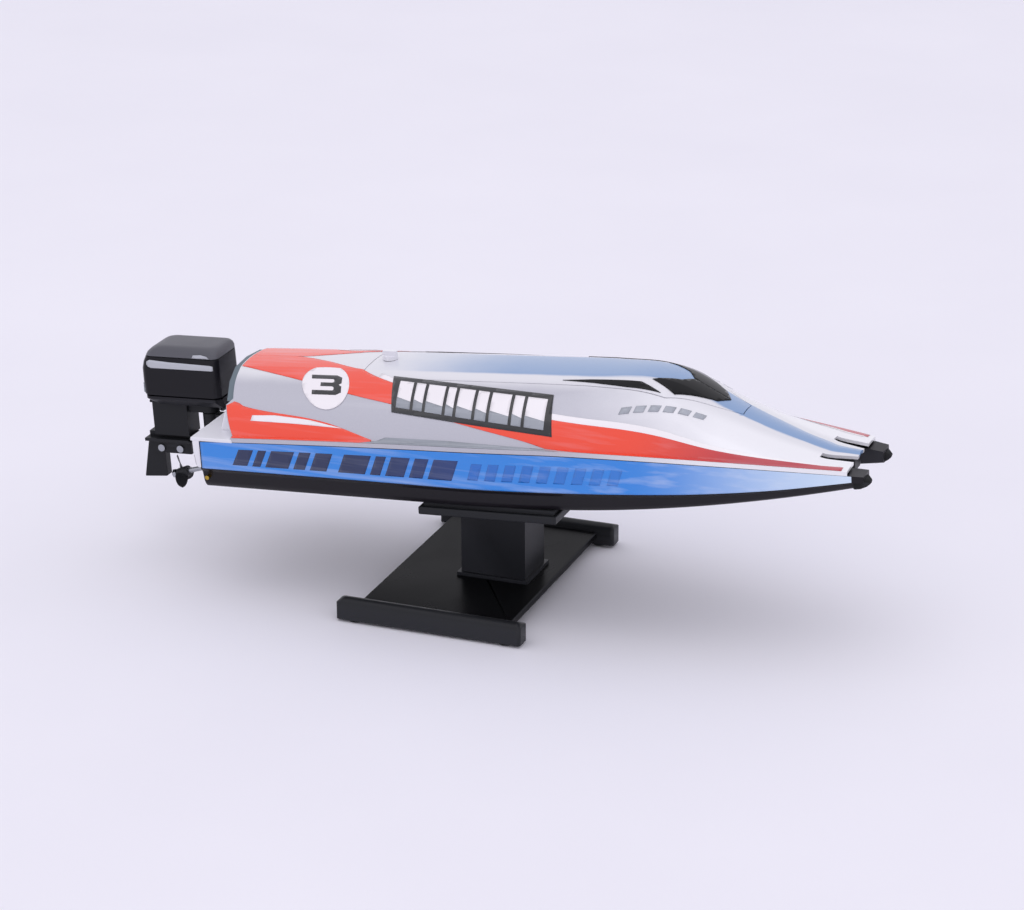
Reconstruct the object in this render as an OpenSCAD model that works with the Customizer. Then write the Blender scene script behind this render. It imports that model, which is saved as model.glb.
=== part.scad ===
// Tunnel-hull racing boat with a steering outboard, sitting bow-up on its display stand.
// Units are millimetres. The boat is drawn in its own level frame: x forward from the
// transom, y to port, z up from the keels. on_boat() then sets it on the stand.

/* [Hull] */
// Length of the hull from transom to sponson tips
hull_len = 370; // [350:1:390]
// Half of the greatest beam
half_beam = 60; // [56:1:64]
// Half of the tunnel's width at the transom
half_tunnel = 34; // [31:1:36]
// Height of the deck edge above the keels at the transom
deck_z = 28; // [27:0.5:30]
// Height of the roof's edge above the keels at the cowl's rear
roof_z = 58; // [56:1:62]
// Wall thickness of the moulded shells
wall = 1.8; // [1.6:0.1:2.2]

/* [Placing on the stand] */
// How far the bow is raised
pitch = 3.5; // [2.5:0.1:4]
// Place of the transom along the row's x axis
boat_x = -152.5; // [-153:0.5:-149]
// Height of the keels at the transom
boat_z = 58; // [56:0.5:60]

/* [Stand] */
// Length of each foot rail
rail_len = 108; // [100:1:116]
// Height of a foot rail with its rubber feet
rail_h = 13; // [12:0.5:15]
// Spacing of the two rails, centre to centre
rail_gap = 150; // [140:1:160]
// Length of the base plate along the boat
plate_len = 88; // [80:1:92]
// Length of the cradle tray along the boat
tray_len = 80; // [74:1:84]

/* [Outboard] */
// Length of the motor cowl
cowl_len = 49; // [46:1:50]
// Width of the motor cowl
cowl_w = 28; // [26:1:30]
// Diameter of the propeller
prop_d = 22; // [20:0.5:22.5]
// Angle of the propeller shaft below the keel line
shaft_angle = 15; // [14.5:0.1:15.5]

/* [Hidden] */
$fn = 48;

// Clearances between pieces
gap = 0.3;
run = 0.06;
press = 0.02;

// Stand, in the row's frame
stand_x = -10;
rail_w = 11;
foot_h = 1.5;
plate_t = 4;
plate_z = 5;
pedestal_x = 38;
pedestal_cx = 3;
pedestal_y = 30;
tray_t = 4.5;
pad_t = 2;
tray_bx = 168;
tray_w = 112;
keel_gap = 0.1;

// Fullness of the bow in plan and in profile
taper_x = 150;
rise_x = 200;
tip_half = 26;
tip_tunnel = 14;
tip_keel = 15;
tip_deck = 22;
nose_x = 360;
notch_x = 344;
nose_half = 8;
cowl_x = 20;
cowl_step = 25;
rake = 0.6;
rake_z = 31;
step_z = 46;
bulkhead_t = 4.8;
brow_x = 250;
brow_z = roof_z + 8;
nose_z = 23.4;
roof_half = 16;
nose_roof = 4;
flange = 2.4;
overhang = 5;
tunnel_z = 14;
skin = 0.3;

// Hatch
hatch_x0 = 84;
hatch_x1 = 300;
hatch_half = 24;
hatch_nose = 7;
hatch_taper_x = 262;
knob_x = 93;
peg_x = 284;
peg_z = 30;

// Drive line: distances along the shaft from the propeller's hub
hub_x = -45;
hub_z = -15;
shaft_r = 1.5;
tube_r = 2.8;
motor_s = 164;
motor_r = 10;
motor_len = 32;

// Steering: the outboard turns on the swivel pin, level with the servo's horn
swivel_x = -22;
pin_r = 1.5;
horn_x = 40;
arm = 14;
rod_z = 21.5;
rod_r = 1;
lug_r = 5;
bolt_y = 5.8;
bolt_z = 19;
ear_z = 39.5;

// Inside the hull
tray_z = tunnel_z + 3.8;
cell_z = tray_z + 10;
board_z = tunnel_z + 2.8;
switch_x = 90;

// Half of the hull's width, of the tunnel, and heights of keel, deck edge and roof, along x
function past(x, from, to) = max(0, (x - from) / (to - from));
function hull_half(x) = half_beam - (half_beam - tip_half) * pow(past(x, taper_x, hull_len), 1.6);
function tunnel_half(x) =
    half_tunnel - (half_tunnel - tip_tunnel) * pow(past(x, taper_x, hull_len), 1.2);
function keel(x) = tip_keel * pow(past(x, rise_x, hull_len), 1.9);
function deck(x) = x < rise_x
    ? deck_z + 5 * sin(90 * max(0, x) / rise_x)
    : deck_z + 5 - (deck_z + 5 - tip_deck) * pow(past(x, rise_x, hull_len), 1.5);
function chine(x) = min(12 + 3 * min(1, max(0, x) / rise_x) + 6 * pow(past(x, rise_x, hull_len), 1.5),
                        deck(x) - 2);
function tunnel_top(x) = tunnel_z + 3 * pow(max(0, x) / nose_x, 2);
function roof(x) = x < brow_x
    ? roof_z + (brow_z - roof_z) * x / brow_x
    : brow_z + (nose_z - brow_z) * past(x, brow_x, nose_x + 2);
function roof_w(x) = roof_half - (roof_half - nose_roof) * pow(past(x, brow_x - 30, nose_x), 0.9);

// Stations along the hull, and closed outlines swept from them
function stations(from, to, step) = [for (i = [0:ceil((to - from) / step)])
    min(to, from + i * (to - from) / ceil((to - from) / step))];
function side_band(xs, low, high) = concat([for (x = xs) [x, low(x)]],
    [for (i = [len(xs) - 1:-1:0]) [xs[i], high(xs[i])]]);
function plan_band(xs, half) = concat([for (x = xs) [x, -half(x)]],
    [for (i = [len(xs) - 1:-1:0]) [xs[i], half(xs[i])]]);

// One cross-section of the deck and cowl, from the starboard edge over the roof to port.
// cut shrinks the section towards its inside, drop lowers its open underside.
function rise(t) = 0.45 * t + 0.55 * sin(90 * t);
function reach(t) = 0.45 * (1 - t) + 0.55 * cos(90 * t);
function half_section(x, cut, drop) =
    let (edge = hull_half(x) + skin - cut, base = deck(x) + 0.1, wr = roof_w(x), foot = edge - 3,
         low = base + flange, top = max(roof(x) - cut, low + 0.6))
    concat([[edge, base - drop], [edge, max(low - cut, base - drop + 0.1)]],
           [for (i = [0:4]) [wr + (foot - wr) * reach(i / 4),
                             max(low - cut + 0.4, base - drop + 0.2) + (top - low + cut - 0.4) * rise(i / 4)]],
           [[0, top + 1]]);
function full_section(x, cut, drop) =
    let (h = half_section(x, cut, drop), n = len(h))
    concat([for (p = h) [x, -p[0], p[1]]], [for (i = [n - 2:-1:0]) [x, h[i][0], h[i][1]]]);

// Solid swept through a list of sections that all have the same number of points
module loft(sections) {
    rings = len(sections);
    n = len(sections[0]);
    sides = [for (r = [0:rings - 2]) for (i = [0:n - 1]) let (a = r * n + i, b = r * n + (i + 1) % n)
        [[a, b + n, a + n], [a, b, b + n]]];
    polyhedron(
        points = [for (s = sections) for (p = s) p],
        faces = concat([[for (i = [n - 1:-1:0]) i]],
                       [for (pair = sides) for (f = pair) f],
                       [[for (i = [0:n - 1]) (rings - 1) * n + i]]));
}

module on_boat() {
    translate([boat_x, 0, boat_z]) rotate([0, -pitch, 0]) children();
}

module both_sides() {
    children();
    mirror([0, 1, 0]) children();
}

// Outline in x and z, drawn across the whole beam
module across(half, outline) {
    translate([0, half, 0]) rotate([90, 0, 0]) linear_extrude(2 * half) polygon(outline);
}

// Box with its low corner and its size
module block(low, size) {
    translate(low) cube(size);
}

// Upright cylinder between two heights
module post(x, y, z0, z1, r) {
    translate([x, y, z0]) cylinder(h = z1 - z0, r = r);
}

// Along the drive line: s is the distance forward of the propeller's hub
module on_shaft(s) {
    translate([hub_x, 0, hub_z]) rotate([0, 90 - shaft_angle, 0]) translate([0, 0, s]) children();
}

// ---- Stand ----

module base_plate() {
    color("#17181a") difference() {
        translate([stand_x, 0, 0])
            block([-plate_len / 2, -rail_gap / 2 + rail_w / 2, plate_z], [plate_len, rail_gap - rail_w, plate_t]);
        for (x = [-12, 12]) post(pedestal_cx + x, 0, plate_z - 1, plate_z + plate_t + 1, 1.7);
    }
}

module foot_rail(side) {
    color("#2a2b2e") translate([stand_x, side * rail_gap / 2, 0]) difference() {
        hull() {
            for (x = [-1, 1]) {
                translate([x * (rail_len / 2 - 3), 0, foot_h]) cylinder(h = 4, r = 3, $fn = 32);
                for (y = [-1, 1]) translate([x * (rail_len / 2 - 2), y * (rail_w / 2 - 2), foot_h])
                    cylinder(h = rail_h - foot_h - 2, r = 2, $fn = 32);
                translate([x * (rail_len / 2 - 4), 0, rail_h - 4]) sphere(r = 4, $fn = 32);
            }
        }
        for (x = [-1, 1]) post(x * (rail_len / 2 - 10), 0, foot_h - 1, foot_h + 0.8, 4 + press);
    }
}

module foot_rail_starboard() { foot_rail(-1); }

module foot_rail_port() { foot_rail(1); }

module rubber_feet() {
    color("#101010") translate([stand_x, 0, 0]) for (y = [-1, 1]) for (x = [-1, 1])
        post(x * (rail_len / 2 - 10), y * rail_gap / 2, 0, foot_h + 0.8, 4);
}

// The pedestal stands level on the plate and its top follows the boat's slope
module pedestal() {
    color("#26272b") difference() {
        translate([pedestal_cx, 0, 0]) union() {
            block([-pedestal_x / 2, -pedestal_y / 2, plate_z + plate_t], [pedestal_x, pedestal_y, 60]);
            block([-pedestal_x / 2 - 2, -pedestal_y / 2 - 2, plate_z + plate_t], [pedestal_x + 4, pedestal_y + 4, 2]);
        }
        on_boat() block([tray_bx - 60, -40, -keel_gap - pad_t - tray_t], [120, 80, 60]);
        for (x = [-12, 12]) post(pedestal_cx + x, 0, plate_z, plate_z + plate_t + 12, 1.3 + press);
    }
}

module cradle_tray() {
    z = -keel_gap - pad_t - tray_t;
    color("#17181a") on_boat() difference() {
        union() {
            block([tray_bx - tray_len / 2, -tray_w / 2, z], [tray_len, tray_w, tray_t]);
            both_sides() block([tray_bx - 24, 26, z], [48, 3, tray_t + pad_t + 7]);
        }
        both_sides() block([tray_bx - tray_len / 2 + 1.6, 34, z + tray_t - 1], [tray_len - 3.2, 19, 5]);
    }
}

module cradle_pads() {
    z = -keel_gap - pad_t - 1;
    color("#3a3b3d") on_boat() both_sides()
        block([tray_bx - tray_len / 2 + 2, 34.4, z], [tray_len - 4, 18.2, pad_t + 1]);
}

module stand_screws() {
    color("silver") translate([pedestal_cx, 0, 0]) for (x = [-12, 12]) {
        post(x, 0, plate_z - 1.6, plate_z, 3);
        post(x, 0, plate_z, plate_z + plate_t + 10, 1.3);
    }
}

// ---- Hull shells ----

module hull_outer(cut) {
    xs = stations(cut, hull_len - cut, 14);
    side = side_band(xs, function(x) keel(x) + cut, function(x) deck(x) + abs(cut));
    intersection() {
        across(half_beam + 2, side);
        linear_extrude(50) polygon(plan_band(xs, function(x) hull_half(x) - cut));
    }
}

module tunnel_cut(grow) {
    xs = stations(-10, hull_len + 10, 14);
    intersection() {
        across(half_beam, side_band(xs, function(x) -5, function(x) tunnel_top(x) + grow));
        translate([0, 0, -5]) linear_extrude(60)
            polygon(plan_band(xs, function(x) tunnel_half(x) + grow));
    }
}

// The fork between the nose and the sponson tips
module fork_cut() {
    translate([0, 0, -5]) linear_extrude(80) difference() {
        polygon(plan_band([notch_x, hull_len + 10], function(x) tunnel_half(x)));
        polygon([[notch_x - 1, -nose_half - 3], [nose_x, -nose_half + 2], [nose_x, nose_half - 2],
                 [notch_x - 1, nose_half + 3]]);
    }
}

module lower_hull() {
    color("#141416") on_boat() difference() {
        hull_outer(0);
        tunnel_cut(0);
        fork_cut();
        difference() {
            intersection() {
                hull_outer(2.2);
                block([2, -80, 0], [318, 160, 80]);
            }
            tunnel_cut(2.2);
        }
        on_shaft(20) cylinder(h = 118, r = tube_r + press);
        translate([-1, arm, rod_z]) rotate([0, 90, 0]) cylinder(h = 6, r = 4 + press);
        translate([-1, -24, 20]) rotate([0, 90, 0]) cylinder(h = 6, r = 3 + press);
        both_sides() translate([-1, bolt_y, bolt_z]) rotate([0, 90, 0]) cylinder(h = 6, r = 1.3 + press);
        both_sides() translate([12, 45, -1]) cylinder(h = 5, r = 1.2 + press);
        both_sides() translate([3.5, half_beam + 1, 7]) rotate([90, 0, 0]) cylinder(h = 6, r = 1.2 + press);
    }
}

// Thin hatch outline in plan, grown by a margin
module hatch_plan(grow) {
    polygon([[hatch_x0 - grow, -hatch_half - grow], [hatch_taper_x, -hatch_half - grow],
             [hatch_x1 + grow, -hatch_nose - grow], [hatch_x1 + grow, hatch_nose + grow],
             [hatch_taper_x, hatch_half + grow], [hatch_x0 - grow, hatch_half + grow]]);
}

module hatch_column(grow) {
    translate([0, 0, 30]) linear_extrude(60) hatch_plan(grow);
}

// Every cowl solid shares the same inner stations, so that two of them never cross
module cowl_solid(cut, from, to) {
    inner = [for (i = [ceil((from + 1) / cowl_step):floor((to - 1) / cowl_step)]) i * cowl_step];
    loft([for (x = concat([from], inner, [to])) full_section(x, cut, cut > 0 ? 4 : 0)]);
}

// Everything ahead of the cowl's rear edge, which leans aft and steps in for the bulkhead
function rear_line(z) = cowl_x - rake * (z - rake_z);
module ahead_of_rear(shift) {
    across(half_beam + 2, [[cowl_x + shift, 0], [nose_x + 2, 0], [nose_x + 2, 90],
        [rear_line(90) + bulkhead_t + shift, 90], [rear_line(step_z) + bulkhead_t + shift, step_z - shift],
        [rear_line(step_z) + shift, step_z - shift], [cowl_x + shift, rake_z]]);
}

module deck_shell() {
    color("#dfe0e6") on_boat() difference() {
        union() {
            difference() {
                intersection() {
                    cowl_solid(0, -30, nose_x + 8);
                    ahead_of_rear(0);
                }
                intersection() {
                    cowl_solid(wall, -30, 330);
                    ahead_of_rear(wall);
                }
            }
            across(half_beam + skin, side_band([-overhang, 0, cowl_x + 0.6], function(x) deck(x) + 0.2,
                                               function(x) deck(x) + flange));
            across(46, [[7, deck_z + 1], [cowl_x + 1, deck_z + 1], [rear_line(deck_z + 12) + 1, deck_z + 12],
                        [7, deck_z + 12]]);
            intersection() {
                difference() {
                    cowl_solid(1, cowl_x + 4, 320);
                    cowl_solid(3.6, cowl_x, 330);
                }
                difference() {
                    hatch_column(3);
                    hatch_column(-3);
                }
            }
            block([hatch_x0 + 2, -hatch_half + 1, roof(knob_x) - 5], [16, 2 * hatch_half - 2, 2.2]);
        }
        difference() {
            hatch_column(gap);
            cowl_solid(2.1, cowl_x, 330);
        }
        fork_cut();
        block([9, -44, deck_z - 1], [cowl_x - 9 + wall + 1, 88, 11]);
        translate([knob_x, 0, roof(knob_x) - 8]) {
            cylinder(h = 8, r = 3);
            translate([-2.6, -7, 0]) cube([5.2, 14, 8]);
        }
    }
}

module flank_sticker(side) {
    xs = stations(0, hull_len, 14);
    color("#2f8fe0") on_boat() scale([1, side, 1]) intersection() {
        block([4, -half_beam - 2, 0], [354, half_beam, 60]);
        across(half_beam + 2, side_band(xs, function(x) chine(x), function(x) deck(x) - 0.2));
        linear_extrude(50) polygon(concat([for (x = xs) [x, -hull_half(x) - skin]],
            [for (i = [len(xs) - 1:-1:0]) [xs[i], -hull_half(xs[i])]]));
    }
}

module flank_sticker_starboard() { flank_sticker(1); }

module flank_sticker_port() { flank_sticker(-1); }

module bow_bumpers() {
    color("#1b1c1f") on_boat() both_sides() difference() {
        intersection() {
            across(half_beam, side_band([hull_len - 5, hull_len, hull_len + 4],
                                        function(x) tip_keel - 1, function(x) tip_deck + 1));
            linear_extrude(50) polygon([[hull_len - 5, -tip_half - 2], [hull_len, -tip_half - 1.4],
                [hull_len + 3, -tip_half + 2], [hull_len + 3, -tip_tunnel - 2],
                [hull_len, -tip_tunnel + 1], [hull_len - 5, -tip_tunnel + 1]]);
        }
        hull_outer(-0.05);
    }
}

module rear_bulkhead() {
    z = step_z + 0.2;
    color("#8a9299") on_boat() intersection() {
        cowl_solid(0.8, -30, 40);
        across(half_beam, [[rear_line(z), z], [rear_line(z) + bulkhead_t - 0.1, z],
                           [rear_line(90) + bulkhead_t - 0.1, 90], [rear_line(90), 90]]);
    }
}

module hatch_seal() {
    color("#303236") on_boat() intersection() {
        difference() {
            cowl_solid(wall + 0.08, cowl_x, 330);
            cowl_solid(2.08, cowl_x, 330);
        }
        difference() {
            hatch_column(-0.5);
            hatch_column(-2.6);
        }
    }
}

// ---- Hatch ----

// Bracket under the deck that the hatch's front pegs drop into
module hatch_socket() {
    color("#4a4c50") on_boat() difference() {
        block([peg_x - 4, -8, tunnel_top(peg_x) + 2.3], [8, 16, 18]);
        both_sides() post(peg_x, 4.5, peg_z - 1, 60, 1.5 + run);
    }
}

module hatch_pegs() {
    color("silver") on_boat() both_sides() post(peg_x, 4.5, peg_z, roof(peg_x) - wall - 1.4, 1.5);
}

module hatch_cover() {
    color("#7f9fc8") on_boat() difference() {
        union() {
            difference() {
                intersection() {
                    cowl_solid(0, cowl_x, nose_x + 2);
                    hatch_column(0);
                }
                cowl_solid(wall, cowl_x + wall, 330);
                canopy_windows(0.1);
            }
            both_sides() difference() {
                post(peg_x, 4.5, roof(peg_x) - 6, roof(peg_x) - 1, 2.6);
                post(peg_x, 4.5, 0, roof(peg_x) - wall - 1.4, 1.5 + press);
            }
        }
        translate([knob_x, 0, roof(knob_x) - 8]) cylinder(h = 20, r = 2 + run);
    }
}

// Windscreen and side glass, as outlines in plan sunk into the hatch's outer surface
module screen_plan() {
    polygon([[252, -14], [266, -19.5], [286, -8], [291, 0], [286, 8], [266, 19.5], [252, 14], [266, 7],
             [271, 0], [266, -7]]);
}

module side_plan() {
    both_sides() polygon([[206, -17], [240, -16], [258, -20], [236, -21.5]]);
}

module canopy_windows(grow) {
    difference() {
        translate([0, 0, 30]) linear_extrude(60) {
            offset(delta = grow) screen_plan();
            offset(delta = grow) side_plan();
        }
        cowl_solid(0.9, cowl_x, 330);
    }
}

module window_skin() {
    difference() {
        intersection() {
            cowl_solid(0, cowl_x, nose_x + 2);
            children();
        }
        cowl_solid(0.85, cowl_x, 330);
    }
}

module windscreen() {
    color("#0d0e10") on_boat() window_skin() translate([0, 0, 30]) linear_extrude(60) screen_plan();
}

module side_windows() {
    color("#16181b") on_boat() window_skin() translate([0, 0, 30]) linear_extrude(60) side_plan();
}

module lock_knob() {
    z = roof(knob_x);
    color("white") on_boat() translate([knob_x, 0, 0]) {
        post(0, 0, z + 1.3, z + 3.6, 4.2);
        block([-4, -1.2, z + 3.5], [8, 2.4, 2.6]);
        post(0, 0, z - 7.5, z + 1.4, 2);
        block([-1.8, -5.6, z - 8], [3.6, 11.2, 2.2]);
    }
}

// ---- Inside the hull ----

module battery_tray() {
    color("#3c3e44") on_boat() difference() {
        block([156, -19, tray_z], [92, 38, 12]);
        block([158, -17, tray_z + 1.6], [88, 34, 20]);
        block([155, 6, cell_z - 2], [4, 4, 12]);
    }
}

module battery_pack() {
    color("#2c6e49") on_boat() both_sides() translate([160, 8.2, cell_z]) rotate([0, 90, 0])
        cylinder(h = 84, r = 8);
}

module battery_strap() {
    color("#222326") on_boat() difference() {
        block([196, -18.6, tray_z + 12], [12, 37.2, cell_z + 10 - tray_z - 12]);
        block([195, -16.8, tray_z + 8], [14, 33.6, cell_z + 8.3 - tray_z - 8]);
    }
}

module battery_lead() {
    color("#b3261e") on_boat() translate([151, 8, cell_z]) rotate([0, 90, 0])
        cylinder(h = 9 - press, r = 1.4);
}

module control_board() {
    color("#1d6b3a") on_boat() {
        block([146, -17, board_z], [8, 34, 1.6]);
        block([147, 4, board_z + 1.5], [3.9, 8, cell_z + 3 - board_z]);
        block([147, -12, board_z + 1.5], [6, 9, 3]);
    }
}

module antenna_wire() {
    color("#202020") on_boat() post(151, -9, board_z + 4.5, 50, 0.7);
}

module switch_body() {
    color("#1f2023") on_boat() difference() {
        block([switch_x, 20, board_z], [16, 8, 9]);
        block([switch_x + 3, 22, board_z + 5], [10, 4, 9]);
    }
}

module switch_slider() {
    color("#e03a2f") on_boat() block([switch_x + 3.3, 22.3, board_z + 5.3], [4.4, 3.4, 6.5]);
}

module steering_servo() {
    z = ear_z - 12;
    color("#26303c") on_boat() difference() {
        union() {
            block([horn_x - 6, -6, z], [23, 12, 17]);
            block([horn_x - 11, -6, z + 12], [33, 12, 1.6]);
            post(horn_x, 0, z - 1.6, z, 5);
            post(horn_x, 0, rod_z + 2.2, z, 1.9);
        }
        post(horn_x, 0, rod_z, rod_z + 5.4, 0.9);
        for (x = [-8.6, 19.6]) post(horn_x + x, 0, ear_z - 1, ear_z + 3, 1 + press);
    }
}

module servo_screws() {
    color("silver") on_boat() for (x = [-8.6, 19.6]) {
        post(horn_x + x, 0, tunnel_z + 2.3, ear_z, 2.2);
        post(horn_x + x, 0, ear_z - 1, ear_z + 1.6, 1);
        post(horn_x + x, 0, ear_z + 1.6, ear_z + 2.8, 1.9);
    }
}

module motor_can() {
    color("#b9bcc2") on_boat() on_shaft(motor_s) difference() {
        cylinder(h = motor_len, r = motor_r);
        translate([0, 0, -1]) cylinder(h = motor_len + 2, r = shaft_r + 0.2);
        translate([0, 0, 2]) cylinder(h = motor_len - 4, r = 7.4);
    }
}

module motor_mount() {
    color("#5b5e66") on_boat() difference() {
        on_shaft(motor_s - 3) translate([-13, -14, 0]) cube([30, 28, 3 - press]);
        on_shaft(motor_s - 4) cylinder(h = 6, r = 3.4);
        block([80, -20, 0], [80, 40, tunnel_top(115) + 2.2]);
    }
}

module stuffing_tube() {
    color("#c9a84a") on_boat() on_shaft(26) difference() {
        cylinder(h = 104, r = tube_r);
        translate([0, 0, -1]) cylinder(h = 106, r = shaft_r + 0.5);
    }
}

module shaft_bushes() {
    color("#b08d57") on_boat() for (s = [20, 130]) on_shaft(s) difference() {
        cylinder(h = 6 - press, r = tube_r);
        translate([0, 0, -1]) cylinder(h = 8, r = shaft_r + run);
    }
}

module shaft_strut() {
    color("#1c1d20") on_boat() difference() {
        union() {
            on_shaft(50) cylinder(h = 12, r = tube_r + 1.4);
            block([2, -1.6, -1], [14, 3.2, tunnel_z]);
            block([0, -7, tunnel_z - 2], [18, 14, 2 - press]);
        }
        on_shaft(10) cylinder(h = 60, r = tube_r + press);
        for (x = [3, 15]) both_sides() post(x, 4.4, tunnel_z - 3, tunnel_z + 1, 0.9);
    }
}

module rod_boot() {
    color("#232427") on_boat() translate([-2.2, arm, rod_z]) rotate([0, 90, 0]) difference() {
        union() {
            cylinder(h = 6, r = 4);
            cylinder(h = 2.1, r = 5.2);
        }
        translate([0, 0, -1]) cylinder(h = 9, r = rod_r + 1.7);
    }
}

module clamp_bracket() {
    color("#1a1b1e") on_boat() difference() {
        union() {
            post(swivel_x, 0, 10.3, 23.7, lug_r);
            block([swivel_x, -3, 14], [-swivel_x - 3, 6, 9]);
            block([-3.2, -8.5, 12.5], [3.2, 17, 12]);
        }
        post(swivel_x, 0, 9, 25, pin_r + run);
        both_sides() translate([-8, bolt_y, bolt_z]) rotate([0, 90, 0]) cylinder(h = 12, r = 1.3 + press);
    }
}

module bracket_bolts() {
    color("silver") on_boat() both_sides() translate([-4.6, bolt_y, bolt_z]) rotate([0, 90, 0]) {
        cylinder(h = 1.4, r = 2.2);
        cylinder(h = 9, r = 1.3);
    }
}

module drain_plug() {
    color("#202124") on_boat() translate([-2, -24, 20]) rotate([0, 90, 0]) {
        cylinder(h = 5, r = 3);
        cylinder(h = 2, r = 4.4);
    }
}

module hull_screws() {
    color("silver") on_boat() both_sides() {
        translate([12, 45, 0]) cylinder(h = 4, r = 1.2);
        translate([12, 45, -1]) cylinder(h = 1, r = 2.2);
    }
}

module water_contacts() {
    color("#c8b26a") on_boat() both_sides() translate([3.5, half_beam + 0.6, 7]) rotate([90, 0, 0])
        cylinder(h = 5.6, r = 1.2);
}

// ---- Drive line ----

module motor_rotor() {
    color("#8f6b3a") on_boat() on_shaft(motor_s - 8) {
        cylinder(h = motor_len + 12, r = shaft_r);
        translate([0, 0, 8 + 3]) cylinder(h = motor_len - 6, r = 7);
    }
}

module shaft_coupling() {
    color("#c43b2e") on_boat() on_shaft(motor_s - 20) difference() {
        cylinder(h = 16, r = 3.1);
        translate([0, 0, -1]) cylinder(h = 18, r = shaft_r + press);
    }
}

module propeller_shaft() {
    color("silver") on_boat() on_shaft(-6) cylinder(h = motor_s - 12 + 5, r = shaft_r);
}

module propeller() {
    color("#2a2a2c") on_boat() on_shaft(0) difference() {
        union() {
            translate([0, 0, -3]) cylinder(h = 8, r1 = 2.6, r2 = 3.2);
            for (a = [0:120:240]) rotate([0, 0, a]) intersection() {
                translate([0, -4.5, 0]) rotate([38, 0, 0]) translate([0, 0, -0.6]) cube([prop_d / 2, 9, 1.2]);
                translate([0, 0, -4]) cylinder(h = 9, r = prop_d / 2);
            }
        }
        translate([0, 0, -10]) cylinder(h = 30, r = shaft_r + press);
    }
}

module propeller_nut() {
    color("silver") on_boat() on_shaft(-5.4) difference() {
        cylinder(h = 2.3, r = 2.6, $fn = 6);
        translate([0, 0, -1]) cylinder(h = 5, r = shaft_r + press);
    }
}

// ---- Steering ----

module servo_horn() {
    color("white") on_boat() difference() {
        union() {
            hull() {
                post(horn_x, 0, rod_z + 1.4, rod_z + 3.2, 3.4);
                post(horn_x, arm, rod_z + 1.4, rod_z + 3.2, 2.2);
            }
            post(horn_x, 0, rod_z + 1.4, rod_z + 3.2, 3.4);
            post(horn_x, arm, rod_z - 2, rod_z + 1.5, 0.8);
        }
        post(horn_x, 0, rod_z, rod_z + 8, 1.9 + run);
    }
}

module horn_screw() {
    color("silver") on_boat() {
        post(horn_x, 0, rod_z, rod_z + 1.4, 2.2);
        post(horn_x, 0, rod_z + 1.2, rod_z + 4.6, 0.8);
    }
}

module steering_rod() {
    color("silver") on_boat() difference() {
        union() {
            translate([swivel_x + 2, arm, rod_z]) rotate([0, 90, 0]) cylinder(h = horn_x - swivel_x - 4, r = rod_r);
            for (x = [swivel_x, horn_x]) post(x, arm, rod_z - 1.1, rod_z + 1.1, 2.6);
        }
        post(horn_x, arm, rod_z - 3, rod_z + 3, 0.8 + run);
        post(swivel_x, arm, rod_z - 3, rod_z + 3, 1.3);
    }
}

// ---- Outboard ----

cowl_back = swivel_x - 35.5;
cowl_z0 = 36;
cowl_z1 = 59.5;
lid_z = 65.5;

module cowl_form(cut, z0, z1) {
    hull() for (x = [cowl_back + 5, cowl_back + cowl_len - 4]) for (y = [-1, 1])
        translate([x, y * (cowl_w / 2 - 4), z0]) cylinder(h = z1 - z0, r = 4 - cut, $fn = 32);
}

module motor_cowl() {
    color("#141518") on_boat() difference() {
        cowl_form(0, cowl_z0, cowl_z1);
        cowl_form(1.8, cowl_z0 - 1, cowl_z1 - 1.8);
    }
}

module cowl_lid() {
    color("#2c2e33") on_boat() hull() {
        cowl_form(0.5, cowl_z1, cowl_z1 + 1);
        for (x = [cowl_back + 14, cowl_back + cowl_len - 6]) for (y = [-1, 1])
            translate([x, y * (cowl_w / 2 - 7), lid_z - 2]) cylinder(h = 2, r = 4, $fn = 32);
    }
}

module cowl_pan() {
    color("#1b1c20") on_boat() difference() {
        union() {
            hull() {
                cowl_form(0, cowl_z0 - 2, cowl_z0 - gap);
                translate([4, 0, 0]) cowl_form(3, cowl_z0 - 5.6, cowl_z0 - 4);
            }
            cowl_form(2.1, cowl_z0 - 2, cowl_z0 + 4);
        }
        cowl_form(3.8, cowl_z0 - 1, cowl_z0 + 8);
    }
}

module cowl_stripes() {
    color("#d9dbe0") on_boat() both_sides()
        block([cowl_back + 5, cowl_w / 2, 54], [38, 0.3, 4.4]);
}

module cowl_latch() {
    color("#85888e") on_boat() difference() {
        block([cowl_back - 4, -5, cowl_z0 - 1.6], [5.2, 10, 6]);
        cowl_form(-0.02, cowl_z0 - 3, cowl_z1);
    }
}

module outboard_leg() {
    color("#1e1f22") on_boat() difference() {
        union() {
            block([-56, -7, 10], [22, 14, 20.4]);
            hull() {
                post(swivel_x, 0, 24.4, 28.4, lug_r);
                block([-36, -5, 24.4], [2, 10, 4]);
            }
            hull() {
                post(swivel_x, 0, 5.6, 9.8, lug_r);
                block([-36, -5, 5.6], [2, 10, 4.2]);
            }
            hull() {
                post(swivel_x, 0, 24.4, 28.4, 3);
                post(swivel_x, arm, 24.4, 28.4, 3);
            }
            block([-62, -9, 6.2], [28, 18, 1.8]);
            block([-61, -4.2, -2], [26, 8.4, 13]);
            block([-58, -6, 29], [27, 12, 1.4]);
        }
        post(swivel_x, 0, 0, 40, pin_r + press);
        post(swivel_x, arm, 20, 40, 1 + press);
        translate([-60, 0, 1]) rotate([90, 0, 0]) for (x = [6, 18]) translate([x, 0, -9])
            cylinder(h = 18, r = 1.2 + press);
    }
}

module rudder_blade() {
    color("#191a1d") on_boat() translate([0, 3, 0]) rotate([90, 0, 0]) linear_extrude(6)
        polygon([[-63, 4], [-67.5, -18], [-53, -17], [-53, -2 - press], [-61 - press, -2 - press], [-61 - press, 4]]);
}

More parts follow.
